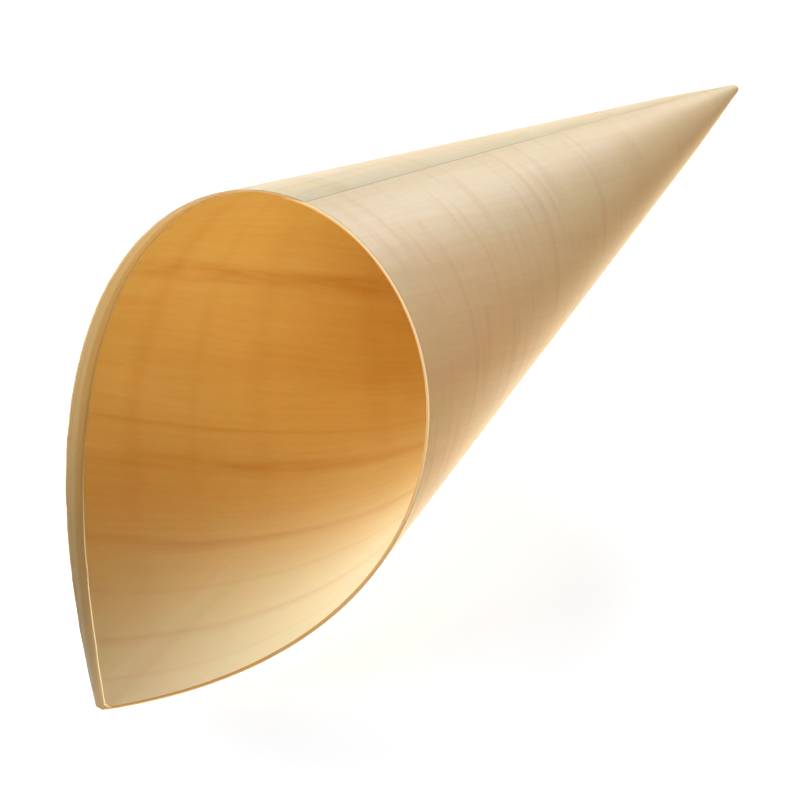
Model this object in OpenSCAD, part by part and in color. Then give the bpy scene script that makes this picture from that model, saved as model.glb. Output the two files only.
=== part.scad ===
// Disposable food cone, rolled from one sheet of cross-laid pine veneer.
// The sheet is nearly square. One corner is the point of the cone, the opposite
// corner is the tall tip of the mouth, and two edges meet in a glued seam.
// Both seam edges are shaved to a slope, so that the lap is no thicker than the wall.
// It lies on its side, on the line from the point to the tip.

/* [Sheet] */
// Length of the sheet from the point of the cone to the edge left of the tip
left_side = 126; // [80:1:180]
// Length of the sheet from the point of the cone to the edge right of the tip
right_side = 129; // [80:1:180]
// Thickness of the inner ply, whose grain runs along the right edge
inner_ply = 0.35; // [0.25:0.05:0.6]
// Thickness of the outer ply, whose grain runs along the left edge
outer_ply = 0.35; // [0.25:0.05:0.6]
// How far the tall tip of the mouth is blunted
tip_blunt = 0.6; // [0.2:0.1:2]

/* [Uneven left edge] */
// How far the outer ply reaches past the inner ply at the tip
proud_at_tip = 1.4; // [0.5:0.1:4]
// How far it reaches past the inner ply halfway to the seam
proud_midway = 3.4; // [0.5:0.1:6]
// How far it reaches past the inner ply at the seam
proud_at_seam = 3; // [0.5:0.1:4]

/* [Roll] */
// Angle between the wall and the axis of the cone
half_angle = 14.377; // [12:0.001:17]
// Width of the sloped lap at the mouth
lap_width = 6; // [3:0.5:14]
// Thickness that is left at the shaved edges
feather = 0.1; // [0.06:0.01:0.2]
// Glue line between the two slopes of the lap
glue_line = 0.1; // [0.06:0.01:0.14]
// Distance from the ideal point at which the wood begins
point_start = 2.2; // [1:0.1:4]
// Thickness of the wall where it is pressed together at the point
point_wall = 0.22; // [0.2:0.02:0.5]
// Length over which the wall is pressed thin towards the point
pressed_length = 20; // [8:1:30]

/* [Rest] */
// Turn of the cone from its tip to the line that it lies on
rest_turn = -2; // [-8:0.5:8]
// Turn that the flat strip along that line takes up
flat_turn = 6; // [2:0.5:12]

/* [Hidden] */

// The wall and the slope of the cone
wall = inner_ply + outer_ply;
slope_sin = sin(half_angle);
slope_cos = cos(half_angle);

// Directions in the flat sheet are measured at the point, from the left seam edge.
// Turns are measured round the rolled cone, from the tip.
tip_direction = atan2(right_side, left_side);
outer_tip_direction = atan2(right_side, left_side + proud_at_tip);
seam_turn = 180;
lap_turn = lap_width / right_side * 180 / PI / slope_sin;

// The right edge goes on under the left one as a tongue, as far as the slope leaves wood
lap_rise = wall - feather;
tongue_turn = lap_turn * (1 - (feather + glue_line) / lap_rise);
seam_gap_turn = 0.2;
least_cut = 0.03;

// The blunted tip of each ply
inner_tip = norm([left_side, right_side]) - tip_blunt;
outer_tip = norm([left_side + proud_at_tip, right_side]) - tip_blunt;
blunt_from = turn_at(acos((left_side + proud_at_tip) / outer_tip));
blunt_to = turn_at(asin(right_side / inner_tip));

// Fineness of the surface
turn_step = 3;
lap_steps = 4;
blunt_steps = 6;
pressed_rows = 3;
plain_rows = 3;
rows = pressed_rows + plain_rows;

// Turns of the straight lines that the surface is ruled with
slope_end = lap_turn - seam_turn;
left_steps = ceil((blunt_from - slope_end) / turn_step);
right_steps = ceil((seam_turn - blunt_to) / turn_step);
turns = concat(
    spread(-seam_turn, slope_end, lap_steps),
    spread(slope_end, blunt_from, left_steps),
    spread(blunt_from, blunt_to, blunt_steps),
    spread(blunt_to, seam_turn - seam_gap_turn, right_steps),
    [seam_turn - seam_gap_turn],
    spread(seam_turn, seam_turn + tongue_turn, lap_steps),
    [seam_turn + tongue_turn]
);
last = len(turns) - 1;
flush_from = lap_steps + left_steps + blunt_steps;

// Evenly spaced values from one value up to, and without, another
function spread(from, to, steps) = [for (k = [0:steps - 1]) from + (to - from) * k / steps];

// From a direction in the flat sheet to a turn round the cone, and back
function turn_at(direction) = (direction - tip_direction) / slope_sin;
function direction_at(turn) = tip_direction + turn * slope_sin;

// How far the outer ply stands past the left edge, on a curve through three values
function proud(share) =
    proud_at_seam * (1 - share) * (1 - 2 * share)
    + proud_midway * 4 * share * (1 - share)
    + proud_at_tip * share * (2 * share - 1);

// How far up the left edge a direction meets it, from the seam to the tip
function left_share(direction) = left_side * tan(direction) / right_side;

// Distance from the point to each rim edge, along one direction of the sheet
function left_end(direction, extra) = (left_side + extra) / cos(direction);
function right_end(direction) = right_side / sin(direction);

// Distance from the point to the end of each ply
function inner_end(direction) = min(
    inner_tip,
    direction < tip_direction ? left_end(direction, 0) : right_end(direction)
);
function outer_end(direction) = min(
    outer_tip,
    direction < outer_tip_direction
        ? left_end(direction, proud(left_share(direction)))
        : right_end(direction)
);

function inner_reach(turn) = inner_end(direction_at(turn));
function outer_reach(turn) = outer_end(direction_at(turn));

// Depth in the wall of the inside and the outside, which the lap shaves to slopes,
// and of the joint between the two plies
function slope_depth(turn) = lap_rise * (1 - turn / lap_turn);
function inside_depth(turn) = max(0, slope_depth(turn + seam_turn));
function outside_depth(turn) =
    turn < seam_turn ? wall : slope_depth(turn - seam_turn) - glue_line;
function joint_depth(turn) = max(
    inside_depth(turn) + least_cut,
    min(inner_ply, outside_depth(turn) - least_cut)
);

// The wall is pressed thin towards the point
point_share = min(1, point_wall / wall);
function pressed(reach) = reach >= pressed_length
    ? 1
    : point_share + (1 - point_share) * (reach - point_start) / (pressed_length - point_start);

// The strip that the cone lies on is flat instead of round
function flattened(away) =
    abs(away) < flat_turn / 2 ? cos(flat_turn / 2) / cos(away) : 1;

// A point of the rolled sheet, with the axis of the cone upright and its point at zero
function rolled(reach, turn, depth) =
    let (lift = depth * pressed(reach))
    let (radius = (reach * slope_sin + lift * slope_cos) * flattened(turn - rest_turn))
    [
        radius * cos(turn - rest_turn),
        radius * sin(turn - rest_turn),
        reach * slope_cos - lift * slope_sin
    ];

// The same point with the cone laid down, its mouth towards -Y
function laid(p) = [
    p.y,
    -slope_sin * p.x - slope_cos * p.z,
    slope_sin * p.z - slope_cos * p.x
];
function sheet_point(reach, turn, depth) = laid(rolled(reach, turn, depth));

// Reach of one row, first along the pressed end and then up to the rim
function row_reach(row, end) = row <= pressed_rows
    ? point_start + (pressed_length - point_start) * row / pressed_rows
    : pressed_length + (end - pressed_length) * (row - pressed_rows) / plain_rows;

// Points of the inside, of the step on the inner ply's edge, of the outer ply's edge
// on that step, and of the outside
inside_points = [
    for (turn = turns, row = [0:rows])
        sheet_point(row_reach(row, inner_reach(turn)), turn, inside_depth(turn))
];
step_points = [
    for (turn = turns)
        sheet_point(inner_reach(turn), turn, joint_depth(turn))
];
ledge_points = [
    for (k = [0:flush_from - 1])
        sheet_point(outer_reach(turns[k]), turns[k], joint_depth(turns[k]))
];
outside_points = [
    for (turn = turns, row = [0:rows])
        sheet_point(row_reach(row, outer_reach(turn)), turn, outside_depth(turn))
];
all_points = concat(inside_points, step_points, ledge_points, outside_points);

// Places of the points in that list
function inside(k, row) = k * (rows + 1) + row;
function step(k) = len(inside_points) + k;
function ledge(k) = k < flush_from ? len(inside_points) + len(step_points) + k : step(k);
outside_start = len(inside_points) + len(step_points) + len(ledge_points);
function outside(k, row) = outside_start + k * (rows + 1) + row;

// A four-sided face as two triangles, clockwise from outside, and the same faces turned over
function quad(a, b, c, d) = [[a, c, b], [a, d, c]];
function turned(faces) = [for (f = faces) [f[2], f[1], f[0]]];
function joined(lists) = [for (l = lists, item = l) item];

inside_faces = joined([
    for (k = [0:last - 1], row = [0:rows - 1])
        quad(inside(k, row), inside(k, row + 1), inside(k + 1, row + 1), inside(k + 1, row))
]);
outside_faces = joined([
    for (k = [0:last - 1], row = [0:rows - 1])
        quad(outside(k, row), outside(k + 1, row), outside(k + 1, row + 1), outside(k, row + 1))
]);
point_faces = joined([
    for (k = [0:last - 1])
        quad(inside(k, 0), inside(k + 1, 0), outside(k + 1, 0), outside(k, 0))
]);
inner_rim_faces = joined([
    for (k = [0:last - 1])
        quad(inside(k, rows), step(k), step(k + 1), inside(k + 1, rows))
]);
outer_rim_faces = joined([
    for (k = [0:last - 1])
        quad(ledge(k), outside(k, rows), outside(k + 1, rows), ledge(k + 1))
]);
ledge_faces = joined([
    for (k = [0:flush_from - 1])
        k < flush_from - 1
            ? quad(step(k), ledge(k), ledge(k + 1), step(k + 1))
            : [[step(k), step(k + 1), ledge(k)]]
]);

// The two edges that meet in the seam, closed from the inside to the outside
function edge_faces(k) = concat(
    joined([
        for (row = [0:rows - 2])
            quad(inside(k, row), outside(k, row), outside(k, row + 1), inside(k, row + 1))
    ]),
    [
        [inside(k, rows - 1), inside(k, rows), step(k)],
        [inside(k, rows - 1), step(k), outside(k, rows - 1)],
        [step(k), outside(k, rows), outside(k, rows - 1)]
    ],
    ledge(k) == step(k) ? [] : [[step(k), ledge(k), outside(k, rows)]]
);
all_faces = concat(
    inside_faces,
    outside_faces,
    point_faces,
    inner_rim_faces,
    outer_rim_faces,
    ledge_faces,
    edge_faces(0),
    turned(edge_faces(last))
);

// The middle of the cone's length and width lies over the origin, and its underside at zero
function lowest(axis) = min([for (p = all_points) p[axis]]);
function highest(axis) = max([for (p = all_points) p[axis]]);
centre = [(lowest(0) + highest(0)) / 2, (lowest(1) + highest(1)) / 2, lowest(2)];

// The rolled sheet as one solid
module veneer_cone() {
    color("#e8cd9c")
        translate(-centre)
            polyhedron(points = all_points, faces = all_faces, convexity = 6);
}

veneer_cone();
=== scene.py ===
import math
import bpy
from mathutils import Matrix, Vector, noise


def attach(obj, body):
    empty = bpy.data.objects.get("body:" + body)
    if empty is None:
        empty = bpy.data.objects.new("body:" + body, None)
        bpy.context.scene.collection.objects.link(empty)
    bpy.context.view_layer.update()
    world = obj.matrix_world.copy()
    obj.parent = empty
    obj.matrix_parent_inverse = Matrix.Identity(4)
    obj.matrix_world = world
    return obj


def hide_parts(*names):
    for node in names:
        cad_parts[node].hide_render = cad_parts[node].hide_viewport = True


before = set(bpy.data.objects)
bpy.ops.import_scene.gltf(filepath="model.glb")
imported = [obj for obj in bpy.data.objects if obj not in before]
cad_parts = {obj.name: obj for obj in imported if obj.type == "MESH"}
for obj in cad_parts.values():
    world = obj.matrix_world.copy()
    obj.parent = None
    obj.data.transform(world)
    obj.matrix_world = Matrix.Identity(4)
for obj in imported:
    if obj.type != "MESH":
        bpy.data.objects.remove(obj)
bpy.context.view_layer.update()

# A food cone rolled from two plies of pine veneer that are glued crosswise.
# It is drawn first as the flat sheet, and a node tree then rolls it up.
# In the sheet, u runs from the point along the left seam edge and v along the right one.

mm = 0.001


def linearColour(hexColour):
    # sRGB hex to the linear values that Blender mixes with
    parts = [int(hexColour[k:k + 2], 16) / 255 for k in (1, 3, 5)]
    return [p / 12.92 if p <= 0.04045 else ((p + 0.055) / 1.055) ** 2.4 for p in parts] + [1.0]


def addNode(tree, kind, settings=None, links=None):
    # One node with its settings. A link is a socket to join, or a value or hex colour to set.
    node = tree.nodes.new(kind)
    for name, value in (settings or {}).items():
        setattr(node, name, value)
    for name, value in (links or {}).items():
        if isinstance(value, bpy.types.NodeSocket):
            tree.links.new(value, node.inputs[name])
        elif isinstance(value, str) and value.startswith("#"):
            node.inputs[name].default_value = linearColour(value)
        else:
            node.inputs[name].default_value = value
    return node


# The flat sheet

sheet = {
    "leftSide": 126.0,        # mm, from the point to the left rim edge
    "rightSide": 129.0,       # mm, from the point to the right rim edge
    "innerPly": 0.35,
    "outerPly": 0.33,         # a hair under the CAD wall, which keeps the looks inside its box
    "tipBlunt": 0.6,
    "proud": (3.0, 3.4, 1.4),  # how far the outer ply stands out: at the seam, midway, at the tip
    "lap": 6.0,
    "feather": 0.1,           # what is left at the two shaved edges
    "glueLine": 0.05,         # half the gap of the CAD, so that the seam is a fine line
    "leastCut": 0.03,
    "pointStart": 2.2,
    "pointWall": 0.22,
    "pressedLength": 20.0,
    "brokenCorner": 0.07,     # the knife leaves no sharp corner
    "raggedLeft": 0.12,       # end grain of the inner ply, cut across
    "raggedRight": 0.05,
    "raggedRates": (0.35, 1.3),   # waves for each mm, coarse and fine
    "rimForRadian": 130.0,    # mm round the rim for each radian of the sheet, about
}
roll = {
    "halfAngle": 14.377,
    "restTurn": -2.0,
    "flatTurn": 6.0,          # the strip it lies on
    "turnStep": 0.6,
    "tipTurnStep": 0.2,
    "tongueSteps": 10,
    "rows": 18,
    "rowGrowth": 1.15,        # the rows lie closer together near the point
    "middle": (0.1135, 91.2566, 0.6925),   # mm, from the point to the middle of the CAD box
}

halfAngle = math.radians(roll["halfAngle"])
slopeSin = math.sin(halfAngle)
slopeCos = math.cos(halfAngle)
wall = sheet["innerPly"] + sheet["outerPly"]
outerLeftAtTip = sheet["leftSide"] + sheet["proud"][2]
tipDirection = math.atan2(sheet["rightSide"], sheet["leftSide"])
outerTipDirection = math.atan2(sheet["rightSide"], outerLeftAtTip)
innerTip = math.hypot(sheet["leftSide"], sheet["rightSide"]) - sheet["tipBlunt"]
outerTip = math.hypot(outerLeftAtTip, sheet["rightSide"]) - sheet["tipBlunt"]
lapTurn = sheet["lap"] / sheet["rightSide"] / slopeSin
lapRise = wall - sheet["feather"]
tongueTurn = lapTurn * (1 - (sheet["feather"] + sheet["glueLine"]) / lapRise)


def proudAt(share):
    seam, midway, tip = sheet["proud"]
    return (seam * (1 - share) * (1 - 2 * share) + midway * 4 * share * (1 - share)
            + tip * share * (2 * share - 1))


def ragged(direction, ply):
    # A fine unevenness of a cut edge, in mm, coarse and fine together
    place = direction * sheet["rimForRadian"]
    coarse, fine = [noise.noise((place * rate, 7.0 * ply, 3.0 * k))
                    for k, rate in enumerate(sheet["raggedRates"])]
    amount = sheet["raggedLeft"] if direction < tipDirection else sheet["raggedRight"]
    return amount * (coarse + 0.6 * fine - 0.8)


def innerEnd(direction):
    if direction < tipDirection:
        return min(innerTip, sheet["leftSide"] / math.cos(direction))
    return min(innerTip, sheet["rightSide"] / math.sin(direction))


def outerEnd(direction):
    if direction < outerTipDirection:
        share = sheet["leftSide"] * math.tan(direction) / sheet["rightSide"]
        return min(outerTip, (sheet["leftSide"] + proudAt(share)) / math.cos(direction))
    return min(outerTip, sheet["rightSide"] / math.sin(direction))


def section(turn):
    # Direction, ends of the two plies, and depths of the inside, the joint and the outside.
    # Both seam edges are shaved to slopes, and the right one goes on under the left one.
    direction = tipDirection + turn * slopeSin
    inner = innerEnd(direction) + ragged(direction, 0)
    outer = max(outerEnd(direction) + ragged(direction, 1), inner)
    low = max(0.0, lapRise * (1 - (turn + math.pi) / lapTurn))
    high = wall
    if turn >= math.pi:
        high = lapRise * (1 - (turn - math.pi) / lapTurn) - sheet["glueLine"]
    joint = max(low + sheet["leastCut"], min(sheet["innerPly"], high - sheet["leastCut"]))
    return direction, inner, outer, low, joint, high


def columnTurns():
    # Lines from the point to the rim, finer at the blunt tip
    tipFrom, tipTo, seamGap = [math.radians(a) for a in (-2.2, 0.8, 179.8)]
    marks = [-math.pi, lapTurn - math.pi, tipFrom, tipTo, seamGap, math.pi]
    turns = []
    for a, b in zip(marks, marks[1:]):
        step = roll["tipTurnStep"] if b == tipTo else roll["turnStep"]
        count = max(1, round(math.degrees(b - a) / step))
        turns += [a + (b - a) * k / count for k in range(count)]
    steps = roll["tongueSteps"]
    return turns + [math.pi + tongueTurn * k / steps for k in range(steps + 1)]


def partAt(k, size, rows):
    # 1 inner face, 2 outer face, 3 bare ledge, 0 cut edges
    if k < rows:
        return 1
    if size - 1 - rows <= k < size - 1:
        return 2
    return 3 if k == rows + 2 else 0


def makeFlatSheet():
    # Each line is a loop round the sheet's own section: up the inside, over the rim, down the outside
    rows = roll["rows"]
    start = sheet["pointStart"]
    shares = [(row / rows) ** roll["rowGrowth"] for row in range(rows + 1)]
    points, loops = [], []
    for turn in columnTurns():
        direction, inner, outer, low, joint, high = section(turn)
        cornerLow = min(sheet["brokenCorner"], 0.4 * (joint - low))
        cornerHigh = min(sheet["brokenCorner"], 0.4 * (high - joint))
        loop = [(start + (inner - cornerLow - start) * share, low) for share in shares]
        loop += [(inner, low + cornerLow), (inner, joint), (outer, joint), (outer, high - cornerHigh)]
        loop += [(start + (outer - cornerHigh - start) * share, high) for share in reversed(shares)]
        loops.append([len(points) + k for k in range(len(loop))])
        points += [(reach * math.cos(direction) * mm, reach * math.sin(direction) * mm, depth * mm)
                   for reach, depth in loop]
    size = len(loops[0])
    faces, parts = [], []
    for left, right in zip(loops, loops[1:]):
        for k in range(size):
            after = (k + 1) % size
            faces.append((left[k], left[after], right[after], right[k]))
            parts.append(partAt(k, size, rows))
    # the two seam edges: quads between the two faces of the sheet, and the rim's own outline
    for loop, turned in ((loops[0], True), (loops[-1], False)):
        ends = [(loop[row], loop[row + 1], loop[size - 2 - row], loop[size - 1 - row])
                for row in range(rows)]
        ends.append(tuple(loop[rows:size - rows]))
        faces += [tuple(reversed(f)) if turned else f for f in ends]
        parts += [0] * len(ends)
    mesh = bpy.data.meshes.new("flatSheet")
    mesh.from_pydata(points, [], faces)
    mesh.attributes.new("part", "INT", "FACE").data.foreach_set("value", parts)
    mesh.update()
    piece = bpy.data.objects.new("veneerCone", mesh)
    bpy.context.scene.collection.objects.link(piece)
    return piece


print("stage: flat sheet")
cone = makeFlatSheet()


# Rolling it up

unevenWall = {
    "depth": 0.10,            # mm, how far the wall wanders inwards
    "length": 34.0,           # mm, from one shallow hollow to the next
}

# What the tree works out for each point: a name, the operation, and its terms
rollFormulas = (
    ("direction", "ARCTAN2", "v", "u"),
    ("slopeSin", "SINE", "Half Angle"),
    ("slopeCos", "COSINE", "Half Angle"),
    ("fromTip", "SUBTRACT", "direction", "Tip Direction"),
    ("turn", "DIVIDE", "fromTip", "slopeSin"),
    ("angle", "SUBTRACT", "turn", "Rest Turn"),
    ("angleSin", "SINE", "angle"),
    ("angleCos", "COSINE", "angle"),
    # the wall wanders inwards, and is pressed thin at the point
    ("inward", "MULTIPLY", "wander", "Unevenness"),
    ("unpressed", "SUBTRACT", "depth", "inward"),
    ("lift", "MULTIPLY", "unpressed", "pressed"),
    # place on the cone, as a radius and a height along its axis
    ("liftOut", "MULTIPLY", "lift", "slopeCos"),
    ("liftDown", "MULTIPLY", "lift", "slopeSin"),
    ("roundRadius", "MULTIPLY_ADD", "reach", "slopeSin", "liftOut"),
    ("alongAxis", "MULTIPLY", "reach", "slopeCos"),
    ("height", "SUBTRACT", "alongAxis", "liftDown"),
    # the strip it lies on is flat
    ("halfFlat", "MULTIPLY", "Flat Turn", 0.5),
    ("edgeCos", "COSINE", "halfFlat"),
    ("flatCos", "MAXIMUM", "edgeCos", "angleCos"),
    ("flatShare", "DIVIDE", "edgeCos", "flatCos"),
    ("radius", "MULTIPLY", "roundRadius", "flatShare"),
    ("x", "MULTIPLY", "radius", "angleCos"),
    ("y", "MULTIPLY", "radius", "angleSin"),
)


def buildRollTree():
    tree = bpy.data.node_groups.new("rollTheSheet", "GeometryNodeTree")
    tree.is_modifier = True
    face = tree.interface
    face.new_socket("Geometry", in_out="INPUT", socket_type="NodeSocketGeometry")
    for name in ("Half Angle", "Tip Direction", "Rest Turn", "Flat Turn", "Point Start",
                 "Pressed Length", "Squeeze", "Unevenness", "Uneven Length"):
        face.new_socket(name, in_out="INPUT", socket_type="NodeSocketFloat")
    for name in ("Lay Down", "Middle"):
        face.new_socket(name, in_out="INPUT", socket_type="NodeSocketVector")
    for name in ("Inner Face", "Outer Face", "Bare Ledge", "Cut Edge"):
        face.new_socket(name, in_out="INPUT", socket_type="NodeSocketMaterial")
    face.new_socket("Geometry", in_out="OUTPUT", socket_type="NodeSocketGeometry")
    given = addNode(tree, "NodeGroupInput").outputs

    # The place in the flat sheet stays with each point, for the grain
    place = addNode(tree, "GeometryNodeInputPosition").outputs[0]
    inMillimetres = addNode(tree, "ShaderNodeVectorMath", {"operation": "SCALE"},
                            {0: place, "Scale": 1000.0}).outputs[0]
    kept = addNode(tree, "GeometryNodeStoreNamedAttribute",
                   {"data_type": "FLOAT_VECTOR", "domain": "POINT"},
                   {"Geometry": given["Geometry"], "Name": "sheetPlace", "Value": inMillimetres})
    split = addNode(tree, "ShaderNodeSeparateXYZ", links={0: place}).outputs
    flatPlace = addNode(tree, "ShaderNodeCombineXYZ", links={0: split[0], 1: split[1]}).outputs[0]
    reach = addNode(tree, "ShaderNodeVectorMath", {"operation": "LENGTH"}, {0: flatPlace}).outputs["Value"]
    pressed = addNode(tree, "ShaderNodeMapRange", {"clamp": True}, {
        "Value": reach, "From Min": given["Point Start"], "From Max": given["Pressed Length"],
        "To Min": given["Squeeze"], "To Max": 1.0}).outputs[0]
    noiseScale = addNode(tree, "ShaderNodeMath", {"operation": "DIVIDE"},
                         {0: 1.0, 1: given["Uneven Length"]}).outputs[0]
    wander = addNode(tree, "ShaderNodeTexNoise", {"noise_dimensions": "3D"}, {
        "Vector": flatPlace, "Scale": noiseScale, "Detail": 1.0, "Roughness": 0.4}).outputs[0]

    known = {socket.name: socket for socket in given if socket.name}
    known.update({"u": split[0], "v": split[1], "depth": split[2],
                  "reach": reach, "pressed": pressed, "wander": wander})
    for name, operation, *terms in rollFormulas:
        known[name] = addNode(tree, "ShaderNodeMath", {"operation": operation},
                              {k: known.get(term, term) for k, term in enumerate(terms)}).outputs[0]

    rolled = addNode(tree, "ShaderNodeCombineXYZ",
                     links={0: known["x"], 1: known["y"], 2: known["height"]}).outputs[0]
    moved = addNode(tree, "GeometryNodeSetPosition",
                    links={"Geometry": kept.outputs[0], "Position": rolled})
    laid = addNode(tree, "GeometryNodeTransform", links={
        "Geometry": moved.outputs[0], "Rotation": given["Lay Down"], "Translation": given["Middle"]})
    smooth = addNode(tree, "GeometryNodeSetShadeSmooth", links={0: laid.outputs[0]})
    real = addNode(tree, "GeometryNodeRealizeInstances", links={0: smooth.outputs[0]})

    # Each face takes its material from the part of the sheet it belongs to
    part = addNode(tree, "GeometryNodeInputNamedAttribute", {"data_type": "INT"}, {"Name": "part"}).outputs[0]
    last = addNode(tree, "GeometryNodeSetMaterial",
                   links={"Geometry": real.outputs[0], "Material": given["Cut Edge"]})
    for number, name in ((1, "Inner Face"), (2, "Outer Face"), (3, "Bare Ledge")):
        chosen = addNode(tree, "FunctionNodeCompare", {"data_type": "INT", "operation": "EQUAL"},
                         {2: part, 3: number})
        last = addNode(tree, "GeometryNodeSetMaterial", links={
            "Geometry": last.outputs[0], "Selection": chosen.outputs[0], "Material": given[name]})
    addNode(tree, "NodeGroupOutput", links={0: last.outputs[0]})
    return tree


def rollUp(piece, materials):
    tree = buildRollTree()
    layDown = Matrix(((0, 1, 0), (-slopeSin, 0, -slopeCos), (-slopeCos, 0, slopeSin)))
    wanted = {
        "Half Angle": halfAngle,
        "Tip Direction": tipDirection,
        "Rest Turn": math.radians(roll["restTurn"]),
        "Flat Turn": math.radians(roll["flatTurn"]),
        "Point Start": sheet["pointStart"] * mm,
        "Pressed Length": sheet["pressedLength"] * mm,
        "Squeeze": sheet["pointWall"] / wall,
        "Unevenness": unevenWall["depth"] * mm,
        "Uneven Length": unevenWall["length"] * mm,
        "Lay Down": layDown.to_euler(),
        "Middle": Vector(roll["middle"]) * mm,
    }
    wanted.update(materials)
    modifier = piece.modifiers.new("roll", "NODES")
    modifier.node_group = tree
    for item in tree.interface.items_tree:
        if item.in_out == "INPUT" and item.name in wanted:
            modifier[item.identifier] = wanted[item.name]
    bpy.context.view_layer.update()
    graph = bpy.context.evaluated_depsgraph_get()
    mesh = bpy.data.meshes.new_from_object(piece.evaluated_get(graph), depsgraph=graph)
    piece.modifiers.remove(modifier)
    piece.data = mesh
    mesh.name = "veneerCone"
    mesh.set_sharp_from_angle(angle=math.radians(42))


# Materials

# Each ply: light and dark tone, the tone of its bands, and how strongly its own bands and
# those of the ply behind it show. On the inner ply the latter fade towards the right edge of the sheet:
# painted light, for light that comes through the wall from behind and misses that part.
grain = {
    "inner": {"light": "#f3de9b", "dark": "#ebcc84", "band": "#cf9038",
              "own": 0.70, "through": 0.20, "throughWithoutBacklight": 0.03},
    "outer": {"light": "#f8eed0", "dark": "#f1e1b8", "band": "#d0a468",
              "own": 0.28, "through": 0.12, "throughWithoutBacklight": 0.12},
}
# painted light: the inner ply turns paler towards the right edge, where the lamp light falls into the mouth
paintedLightPatch = {"tone": "#f9f0cc", "from": 78.0, "to": 116.0, "share": 0.85}    # inner ply, along v
brownPoint = {"tone": "#ecd2a2", "from": 10.0, "to": 85.0, "share": 0.55}   # outer ply, along the reach
backStreaks = {"rates": (0.045, 0.42), "share": 0.20}                       # outer ply

# Marks of the grain in cycles per mm, along the fibres and across them. Single pine fibres
# are too fine to show, so they are drawn in bundles, a fine and a coarse kind.
grainRates = {
    "fineBundle": (0.5, 5.0),
    "bundle": (0.06, 1.1),
    "cloud": (0.02, 0.05),
    "gap": (0.035, 0.35),     # where a band fades out
}
bandWaves = {"own": (0.016, 0.03), "through": (0.02, 0.03), "height": 5.0}   # height in mm
bandSpan = 132.0              # mm that the ramp of bands covers

# Bands of the figure: place across the ply, width of the fade on either side, both in mm, and strength
innerBands = [(30, 3.0, 2.0, 0.12), (43.2, 1.3, 3.4, 0.90), (50.6, 0.7, 1.0, 0.12), (60, 4.0, 4.0, 0.10),
              (71.6, 0.5, 0.7, 0.45), (78.6, 1.2, 2.6, 0.62), (93.8, 0.8, 2.4, 0.42), (103.3, 0.6, 0.9, 0.22),
              (113.5, 1.2, 2.4, 0.26), (122.5, 0.5, 1.0, 0.20)]
outerBands = [(20, 1.4, 2.0, 0.30), (38, 2.2, 2.2, 0.35), (57, 1.0, 1.6, 0.25), (72, 2.2, 3.0, 0.55),
              (92.6, 2.2, 3.0, 0.50), (104.5, 1.0, 1.6, 0.45), (116.2, 1.6, 3.2, 0.85)]
throughSoftness = 0.7         # mm that the wood in front adds to each fade
throughStrength = 0.8

ledgeTones = {"peach": "#fff8ea", "tan": "#efd6aa"}
edgeTones = {"bright": "#fbeac4", "gold": "#e6bf80", "brown": "#c9ab80"}

# Settings that several nodes share
mixColours = {"data_type": "RGBA", "clamp_factor": True}
softStep = {"clamp": True, "interpolation_type": "SMOOTHSTEP"}


def startMaterial(name):
    # A material with its shader and the sheet coordinates u, v and depth, all in mm
    material = bpy.data.materials.new(name)
    material.use_nodes = True
    tree = material.node_tree
    tree.nodes.clear()
    shader = addNode(tree, "ShaderNodeBsdfPrincipled")
    addNode(tree, "ShaderNodeOutputMaterial", links={0: shader.outputs[0]})
    place = addNode(tree, "ShaderNodeAttribute", {"attribute_name": "sheetPlace"}).outputs["Vector"]
    split = addNode(tree, "ShaderNodeSeparateXYZ", links={0: place}).outputs
    return material, tree, shader, split


def stretchedNoise(tree, along, across, rates, detail, shift=0.0):
    # Noise drawn out along the fibres. The two rates are in cycles per mm.
    parts = [addNode(tree, "ShaderNodeMath", {"operation": "MULTIPLY"}, {0: place, 1: rate}).outputs[0]
             for place, rate in zip((along, across), rates)]
    vector = addNode(tree, "ShaderNodeCombineXYZ", links={0: parts[0], 1: parts[1], 2: shift}).outputs[0]
    return addNode(tree, "ShaderNodeTexNoise", {"noise_dimensions": "3D"},
                   {"Vector": vector, "Scale": 1.0, "Detail": detail, "Roughness": 0.55}).outputs[0]


def growthBands(tree, along, across, bands, wave, shift):
    # The bands of a ply, as a ramp across it with one dark stop for each, on a gently waving place
    sway = stretchedNoise(tree, along, across, wave, 2.0, shift)
    height = bandWaves["height"]
    offset = addNode(tree, "ShaderNodeMath", {"operation": "MULTIPLY_ADD"},
                     {0: sway, 1: height, 2: -height / 2}).outputs[0]
    place = addNode(tree, "ShaderNodeMath", {"operation": "ADD"}, {0: across, 1: offset}).outputs[0]
    share = addNode(tree, "ShaderNodeMath", {"operation": "DIVIDE"}, {0: place, 1: bandSpan}).outputs[0]
    ramp = addNode(tree, "ShaderNodeValToRGB", links={0: share})
    stops = ramp.color_ramp.elements
    stops[0].position, stops[0].color = 0.0, (0, 0, 0, 1)
    stops[1].position, stops[1].color = 1.0, (0, 0, 0, 1)
    for centre, before, after, strength in bands:
        for step, value in ((-before, 0.0), (0.0, strength), (after, 0.0)):
            stop = stops.new((centre + step) / bandSpan)
            stop.color = (value, value, value, 1)
    return ramp.outputs[0]


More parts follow.
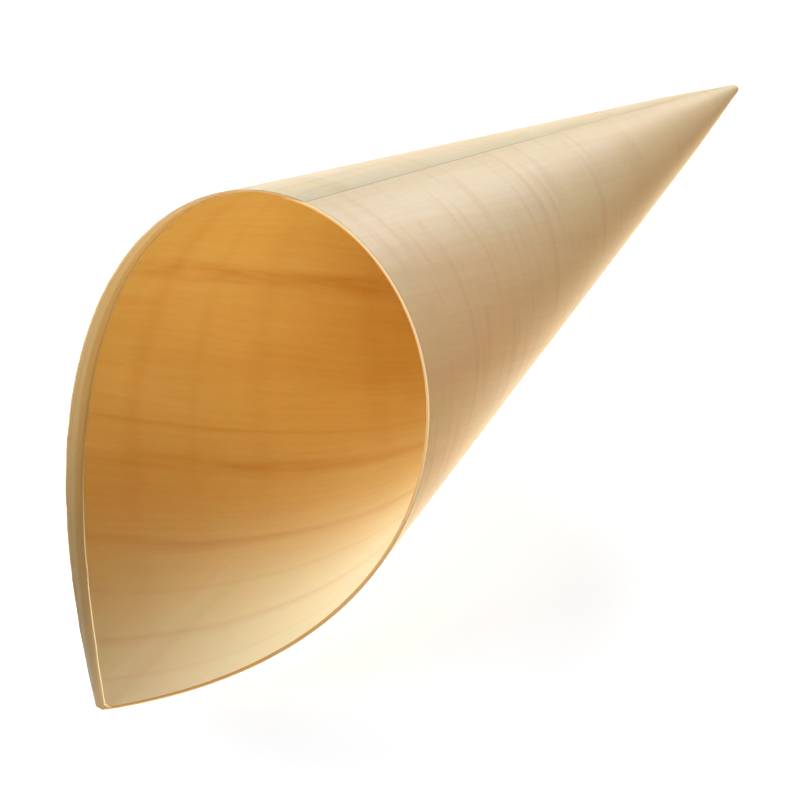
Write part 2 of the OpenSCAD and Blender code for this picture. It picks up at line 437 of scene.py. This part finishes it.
def plyFace(name, side):
    # Rotary-cut pine: smooth pale wood with soft bands and short fibres along its own grain,
    # and the figure of the other ply showing faintly across it through the thin wood
    material, tree, shader, (u, v, depth) = startMaterial(name)
    look = grain[side]
    across, along = (v, u) if side == "inner" else (u, v)
    ownBands, otherBands = (innerBands, outerBands) if side == "inner" else (outerBands, innerBands)
    softened = [(centre, before + throughSoftness, after + throughSoftness, throughStrength * strength)
                for centre, before, after, strength in otherBands]
    ownFigure = growthBands(tree, along, across, ownBands, bandWaves["own"], 4.0)
    throughFigure = growthBands(tree, across, along, softened, bandWaves["through"], 9.0)

    # tone: soft clouds, fine and coarse bundles of fibres
    bundle = stretchedNoise(tree, along, across, grainRates["bundle"], 4.0)
    fine = stretchedNoise(tree, along, across, grainRates["fineBundle"], 3.0, 2.0)
    cloud = stretchedNoise(tree, along, across, grainRates["cloud"], 2.0, 6.0)
    tone = 0.0
    for marks, weight in ((cloud, 0.5), (fine, 0.25), (bundle, 0.35)):
        clear = addNode(tree, "ShaderNodeMapRange", softStep,
                        {"Value": marks, "From Min": 0.3, "From Max": 0.7}).outputs[0]
        tone = addNode(tree, "ShaderNodeMath", {"operation": "MULTIPLY_ADD"},
                       {0: clear, 1: weight, 2: tone}).outputs[0]
    layers = [(tone, look["dark"])]
    if side == "inner":
        # painted light: paler towards the right edge, for the bright patch of lamp light inside the mouth
        pale = addNode(tree, "ShaderNodeMapRange", softStep, {
            "Value": v, "From Min": paintedLightPatch["from"], "From Max": paintedLightPatch["to"],
            "To Max": paintedLightPatch["share"]}).outputs[0]
        layers.append((pale, paintedLightPatch["tone"]))

    # the ply's own bands break up along their length, and the others shine through; on the inner ply this
    # show-through is painted light, fading towards the right edge where no light comes through the wall
    gap = stretchedNoise(tree, along, across, grainRates["gap"], 3.0, 11.0)
    broken = addNode(tree, "ShaderNodeMapRange", softStep, {
        "Value": gap, "From Min": 0.35, "From Max": 0.62,
        "To Min": 0.25 * look["own"], "To Max": look["own"]}).outputs[0]
    backlitShowThrough = addNode(tree, "ShaderNodeMapRange", softStep, {
        "Value": v, "From Min": 62.0, "From Max": 100.0,
        "To Min": look["through"], "To Max": look["throughWithoutBacklight"]}).outputs[0]
    for figure, strength in ((ownFigure, broken), (throughFigure, backlitShowThrough)):
        share = addNode(tree, "ShaderNodeMath", {"operation": "MULTIPLY"},
                        {0: figure, 1: strength}).outputs[0]
        layers.append((share, look["band"]))

    if side == "outer":
        # streaks of the ply behind, and browner towards the point
        streak = stretchedNoise(tree, across, along, backStreaks["rates"], 2.0, 21.0)
        streaks = addNode(tree, "ShaderNodeMapRange", softStep, {
            "Value": streak, "From Min": 0.48, "From Max": 0.78, "To Max": backStreaks["share"]}).outputs[0]
        flatPlace = addNode(tree, "ShaderNodeCombineXYZ", links={0: u, 1: v}).outputs[0]
        reach = addNode(tree, "ShaderNodeVectorMath", {"operation": "LENGTH"},
                        {0: flatPlace}).outputs["Value"]
        brown = addNode(tree, "ShaderNodeMapRange", softStep, {
            "Value": reach, "From Min": brownPoint["from"], "From Max": brownPoint["to"],
            "To Min": brownPoint["share"], "To Max": 0.0}).outputs[0]
        layers += [(streaks, look["band"]), (brown, brownPoint["tone"])]

    colour = look["light"]
    for share, tint in layers:
        colour = addNode(tree, "ShaderNodeMix", mixColours, {0: share, 6: colour, 7: tint}).outputs[2]
    tree.links.new(colour, shader.inputs["Base Color"])
    rough = addNode(tree, "ShaderNodeMath", {"operation": "MULTIPLY_ADD"}, {0: bundle, 1: 0.14, 2: 0.38})
    tree.links.new(rough.outputs[0], shader.inputs["Roughness"])
    shader.inputs["IOR"].default_value = 1.5
    shader.inputs["Specular IOR Level"].default_value = 0.12
    # light gets through the thin wood, the red of it furthest
    shader.inputs["Subsurface Weight"].default_value = 0.4
    shader.inputs["Subsurface Radius"].default_value = (1.0, 0.6, 0.2)
    shader.inputs["Subsurface Scale"].default_value = 1.0 * mm
    relief = addNode(tree, "ShaderNodeMath", {"operation": "ADD"}, {0: bundle, 1: fine}).outputs[0]
    halfRelief = addNode(tree, "ShaderNodeMath", {"operation": "MULTIPLY"}, {0: relief, 1: 0.5}).outputs[0]
    bump = addNode(tree, "ShaderNodeBump", links={
        "Height": halfRelief, "Strength": 0.22, "Distance": 0.05 * mm})
    tree.links.new(bump.outputs[0], shader.inputs["Normal"])
    return material


def bareLedge():
    # The strip of the outer ply that stands out past the inner one: peach wood with streaks
    # along its grain, and a tan band next to the inner ply, a glue stain with painted shade along the step
    material, tree, shader, (u, v, depth) = startMaterial("glueStainAndShadePineLedge")
    streak = stretchedNoise(tree, v, u, (0.05, 2.6), 4.0)
    wobbly = addNode(tree, "ShaderNodeMath", {"operation": "MULTIPLY_ADD"},
                     {0: streak, 1: 1.4, 2: u}).outputs[0]
    # painted shade with glue stain: tan next to the inner ply, peach further out
    clearOfStainAndShade = addNode(tree, "ShaderNodeMapRange", softStep,
                    {"Value": wobbly, "From Min": 127.7, "From Max": 128.4}).outputs[0]
    streaks = addNode(tree, "ShaderNodeMapRange", softStep,
                      {"Value": streak, "From Min": 0.45, "From Max": 0.7, "To Max": 0.5}).outputs[0]
    colour = ledgeTones["tan"]
    for share, tint in ((clearOfStainAndShade, ledgeTones["peach"]), (streaks, ledgeTones["tan"])):
        colour = addNode(tree, "ShaderNodeMix", mixColours, {0: share, 6: colour, 7: tint}).outputs[2]
    tree.links.new(colour, shader.inputs["Base Color"])
    shader.inputs["Roughness"].default_value = 0.6
    bump = addNode(tree, "ShaderNodeBump", links={"Height": streak, "Strength": 0.4, "Distance": 0.1 * mm})
    tree.links.new(bump.outputs[0], shader.inputs["Normal"])
    return material


def cutEdge():
    # Knife-cut edge of two crossed plies: on the left edge the inner ply looks bright and the outer ply
    # brown, a painted shade along the outer edge; on the right edge the inner ply looks gold and the outer
    # ply bright
    material, tree, shader, (u, v, depth) = startMaterial("knifeCutPineEdge")
    difference = addNode(tree, "ShaderNodeMath", {"operation": "SUBTRACT"}, {0: u, 1: v}).outputs[0]
    onLeft = addNode(tree, "ShaderNodeMath", {"operation": "GREATER_THAN"},
                     {0: difference, 1: -2.5}).outputs[0]
    onOuter = addNode(tree, "ShaderNodeMapRange", softStep, {
        "Value": depth, "From Min": sheet["innerPly"] - 0.03,
        "From Max": sheet["innerPly"] + 0.03}).outputs[0]
    # painted shade: on the left edge the outer ply's cut face is brown
    leftTone = addNode(tree, "ShaderNodeMix", mixColours,
                       {0: onOuter, 6: edgeTones["bright"], 7: edgeTones["brown"]}).outputs[2]
    rightTone = addNode(tree, "ShaderNodeMix", mixColours,
                        {0: onOuter, 6: edgeTones["gold"], 7: edgeTones["bright"]}).outputs[2]
    fleck = stretchedNoise(tree, difference, depth, (1.2, 6.0), 3.0)
    flecks = addNode(tree, "ShaderNodeMapRange", softStep,
                     {"Value": fleck, "From Min": 0.4, "From Max": 0.7, "To Max": 0.4}).outputs[0]
    colour = rightTone
    for share, tint in ((onLeft, leftTone), (flecks, edgeTones["gold"])):
        colour = addNode(tree, "ShaderNodeMix", mixColours, {0: share, 6: colour, 7: tint}).outputs[2]
    tree.links.new(colour, shader.inputs["Base Color"])
    shader.inputs["Roughness"].default_value = 0.7
    bump = addNode(tree, "ShaderNodeBump", links={"Height": fleck, "Strength": 0.4, "Distance": 0.06 * mm})
    tree.links.new(bump.outputs[0], shader.inputs["Normal"])
    return material


print("stage: rolling the sheet")
materials = {
    "Inner Face": plyFace("rotaryPineInnerPly", "inner"),
    "Outer Face": plyFace("rotaryPineOuterPly", "outer"),
    "Bare Ledge": bareLedge(),
    "Cut Edge": cutEdge(),
}
rollUp(cone, materials)
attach(cone, "root")
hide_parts("veneer_cone")


# Floor, light and camera

studio = {
    "floorRings": (0.05, 0.1, 0.15, 0.2, 0.3, 0.45, 0.7, 1.2, 2.5, 7.0),   # radii in m
    "floorSpokes": 48,
    "floorDrop": 0.0001,      # m below the object, so that the two don't meet
    "paper": "#a2a9b4",
    "shadowPlace": (0.030, -0.045, 0.0),   # beside the mouth
    "shadowReach": (0.03, 0.06),           # m from there, over which the paper gets pure white
    "whiteAtShadow": 0.79,
    "tableLight": (0.51, 0.255, 0.024, 1.0),   # the warm light that comes up from the table
    "worldLight": (0.07, 0.04, 0.0, 1.0),
    "cameraPlace": (1.67334, -1.80561, 2.38720),
    "cameraTurn": (45.660, 5.057, 37.982),
    "cameraLens": 900.9,
}

# Near-white lamps: place and size in m, power in W, colour
lamps = {
    "frontLow": ((-0.718, -0.646, 0.259), 0.6, 11.8, "#fdfcff"),
    "backLow": ((-0.167, 0.947, 0.276), 0.45, 9.6, "#fffbfb"),
    "intoTheMouth": ((0.453, -0.889, -0.070), 0.45, 2.8, "#ffe2b0"),
    "underTable": ((0.02, 0.0, -0.6), 0.45, 6.8, "#ffffff"),
}


def seenDirectly(tree):
    # 1 for what the camera sees, by itself or in a reflection
    path = addNode(tree, "ShaderNodeLightPath").outputs
    seen = path["Is Camera Ray"]
    for name in ("Is Glossy Ray", "Is Transmission Ray"):
        seen = addNode(tree, "ShaderNodeMath", {"operation": "MAXIMUM"}, {0: seen, 1: path[name]}).outputs[0]
    return seen


def paperSweep():
    # Matt white paper: the camera sees it white, with the object's shadow only beside the mouth
    material = bpy.data.materials.new("matWhitePaperSweep")
    material.use_nodes = True
    tree = material.node_tree
    tree.nodes.clear()
    place = addNode(tree, "ShaderNodeTexCoord").outputs["Object"]
    away = addNode(tree, "ShaderNodeVectorMath", {"operation": "DISTANCE"},
                   {0: place, 1: studio["shadowPlace"]}).outputs["Value"]
    near, far = studio["shadowReach"]
    whiteness = addNode(tree, "ShaderNodeMapRange", softStep, {
        "Value": away, "From Min": near, "From Max": far,
        "To Min": studio["whiteAtShadow"], "To Max": 1.0}).outputs[0]
    white = addNode(tree, "ShaderNodeEmission", links={"Color": "#ffffff", "Strength": whiteness})
    paper = addNode(tree, "ShaderNodeBsdfDiffuse", links={"Color": studio["paper"]})
    seen = addNode(tree, "ShaderNodeAddShader", links={0: white.outputs[0], 1: paper.outputs[0]})
    # what lights the cone is warm, and the lamps below the table shine through
    warm = addNode(tree, "ShaderNodeEmission", links={"Color": studio["tableLight"], "Strength": 1.0})
    mixed = addNode(tree, "ShaderNodeMixShader",
                    links={0: seenDirectly(tree), 1: warm.outputs[0], 2: seen.outputs[0]})
    through = addNode(tree, "ShaderNodeBsdfTransparent")
    shadowRay = addNode(tree, "ShaderNodeLightPath").outputs["Is Shadow Ray"]
    whole = addNode(tree, "ShaderNodeMixShader",
                    links={0: shadowRay, 1: mixed.outputs[0], 2: through.outputs[0]})
    addNode(tree, "ShaderNodeOutputMaterial", links={0: whole.outputs[0]})
    return material


def makeFloor():
    rings, spokes, low = studio["floorRings"], studio["floorSpokes"], -studio["floorDrop"]
    angles = [2 * math.pi * k / spokes for k in range(spokes)]
    points, faces = [(0, 0, low)], []
    for radius in rings:
        points += [(radius * math.cos(a), radius * math.sin(a), low) for a in angles]
    for k in range(spokes):
        after = (k + 1) % spokes
        faces.append((0, 1 + k, 1 + after))
        for ring in range(len(rings) - 1):
            a, b = 1 + ring * spokes, 1 + (ring + 1) * spokes
            faces.append((a + k, b + k, b + after, a + after))
    mesh = bpy.data.meshes.new("floor")
    mesh.from_pydata(points, [], faces)
    mesh.materials.append(paperSweep())
    floor = bpy.data.objects.new("floor", mesh)
    bpy.context.scene.collection.objects.link(floor)


def makeWorld():
    world = bpy.data.worlds.new("studioWhite")
    bpy.context.scene.world = world
    world.use_nodes = True
    tree = world.node_tree
    tree.nodes.clear()
    colour = addNode(tree, "ShaderNodeMix", mixColours,
                     {0: seenDirectly(tree), 6: studio["worldLight"], 7: "#ffffff"}).outputs[2]
    light = addNode(tree, "ShaderNodeBackground", links={"Color": colour, "Strength": 1.0})
    addNode(tree, "ShaderNodeOutputWorld", links={0: light.outputs[0]})


def makeLamp(name, place, size, power, colour):
    lamp = bpy.data.lights.new(name, "AREA")
    lamp.shape = "SQUARE"
    lamp.size = size
    lamp.energy = power
    lamp.color = linearColour(colour)[:3]
    piece = bpy.data.objects.new(name, lamp)
    piece.location = place
    piece.rotation_euler = (-Vector(place)).to_track_quat("-Z", "Y").to_euler()
    bpy.context.scene.collection.objects.link(piece)


def makeCamera():
    camera = bpy.data.cameras.new("camera")
    camera.lens = studio["cameraLens"]
    camera.clip_end = 100.0
    piece = bpy.data.objects.new("camera", camera)
    piece.location = studio["cameraPlace"]
    piece.rotation_euler = [math.radians(a) for a in studio["cameraTurn"]]
    bpy.context.scene.collection.objects.link(piece)
    bpy.context.scene.camera = piece


print("stage: floor, light and camera")
makeFloor()
makeWorld()
for lampName, lampData in lamps.items():
    makeLamp(lampName, *lampData)
makeCamera()
bpy.context.scene.view_settings.view_transform = "Standard"
